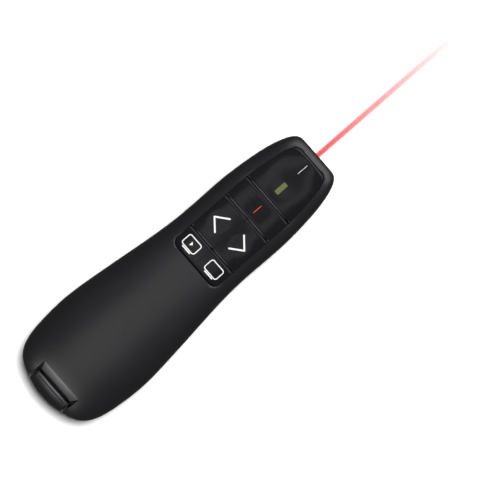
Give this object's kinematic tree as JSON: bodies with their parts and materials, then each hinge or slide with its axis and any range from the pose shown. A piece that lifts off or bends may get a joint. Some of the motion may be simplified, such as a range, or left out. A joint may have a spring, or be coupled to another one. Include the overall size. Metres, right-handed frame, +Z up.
{
  "type": "wireless presentation clicker",
  "caption": "Handheld presentation clicker with a recessed keypad, a laser in the nose, a sliding battery door, a power slider and a plug-in receiver parked in the tail.",
  "frame": {"origin": "middle of the footprint, on the surface that the clicker lies on", "axes": "+Y to the nose, where the laser leaves; +X to the right seen from above; +Z up to the keys"},
  "size_m": [0.0377, 0.1162, 0.027],
  "materials": {
    "case_top": "soft-touch black, fine grain",
    "case_bottom": "fine grained black",
    "door_plastic": "fine grained black",
    "key_rubber": "smooth dark rubber",
    "mat_rubber": "smooth dark rubber",
    "window_green": "translucent olive green",
    "led_body": "milky",
    "board_green": "solder resist",
    "switch_body": "moulded",
    "switch_plunger": "moulded",
    "chip_epoxy": "moulded",
    "tin": "tinned",
    "cell_sleeve": "printed sleeve, plain",
    "contact_steel": "nickel plated",
    "brass": "turned",
    "lens_glass": "clear",
    "window_glass": "red tinted",
    "driver_green": "solder resist",
    "lead_red": "insulated wire",
    "screw_steel": "blackened",
    "slider_black": "fine grained black",
    "receiver_black": "fine grained black",
    "plug_steel": "nickel plated",
    "tongue_black": "moulded",
    "gold": "gold plated"
  },
  "bodies": {
    "housing": {"upper_case": "case_top", "lower_case": "case_bottom", "keypad_mat": "mat_rubber", "status_window": "window_green", "status_led": "led_body", "main_board": "board_green", "controller_chip": "chip_epoxy", "radio_chip": "chip_epoxy", "crystal": "tin", "chip_parts": "tin", "power_switch_body": "switch_body", "aaa_cell_left": "cell_sleeve", "aaa_cell_right": "cell_sleeve", "battery_plus_contact": "contact_steel", "battery_minus_spring": "contact_steel", "battery_bridge_contact": "contact_steel", "laser_barrel": "brass", "laser_lens": "lens_glass", "laser_driver_board": "driver_green", "laser_window": "window_glass", "laser_leads": "lead_red", "case_screws": "screw_steel", "board_screws": "screw_steel", "laser_switch": "switch_body", "previous_switch": "switch_body", "next_switch": "switch_body", "slideshow_switch": "switch_body", "blank_screen_switch": "switch_body"},
    "laser_key": {"laser_key": "key_rubber", "laser_switch_plunger": "switch_plunger"},
    "previous_key": {"previous_key": "key_rubber", "previous_switch_plunger": "switch_plunger"},
    "next_key": {"next_key": "key_rubber", "next_switch_plunger": "switch_plunger"},
    "slideshow_key": {"slideshow_key": "key_rubber", "slideshow_switch_plunger": "switch_plunger"},
    "blank_screen_key": {"blank_screen_key": "key_rubber", "blank_screen_switch_plunger": "switch_plunger"},
    "power_slider": {"power_slider": "slider_black", "power_switch_lever": "switch_body"},
    "battery_door": {"battery_door": "door_plastic"},
    "usb_receiver": {"receiver_grip": "receiver_black", "receiver_plug_shell": "plug_steel", "receiver_plug_tongue": "tongue_black", "receiver_contacts": "gold"}
  },
  "joints": [
    {"name": "laser_press", "type": "slide", "parent": "housing", "child": "laser_key", "axis": [0, 0, -1], "range_m": [0, 0.0004], "stiffness_N_per_m": 800, "springref_m": -0.0015},
    {"name": "previous_press", "type": "slide", "parent": "housing", "child": "previous_key", "axis": [0, 0, -1], "range_m": [0, 0.0004], "stiffness_N_per_m": 800, "springref_m": -0.0015},
    {"name": "next_press", "type": "slide", "parent": "housing", "child": "next_key", "axis": [0, 0, -1], "range_m": [0, 0.0004], "stiffness_N_per_m": 800, "springref_m": -0.0015},
    {"name": "slideshow_press", "type": "slide", "parent": "housing", "child": "slideshow_key", "axis": [0, 0, -1], "range_m": [0, 0.0004], "stiffness_N_per_m": 800, "springref_m": -0.0015},
    {"name": "blank_screen_press", "type": "slide", "parent": "housing", "child": "blank_screen_key", "axis": [0, 0, -1], "range_m": [0, 0.0004], "stiffness_N_per_m": 800, "springref_m": -0.0015},
    {"name": "power_slide", "type": "slide", "parent": "housing", "child": "power_slider", "axis": [0, 1, 0], "range_m": [0, 0.002]},
    {"name": "door_slide", "type": "slide", "parent": "housing", "child": "battery_door", "axis": [0, -1, 0], "range_m": [0, 0.06]},
    {"name": "receiver_pull", "type": "slide", "parent": "housing", "child": "usb_receiver", "axis": [0, -1, 0], "range_m": [0, 0.034]}
  ]
}
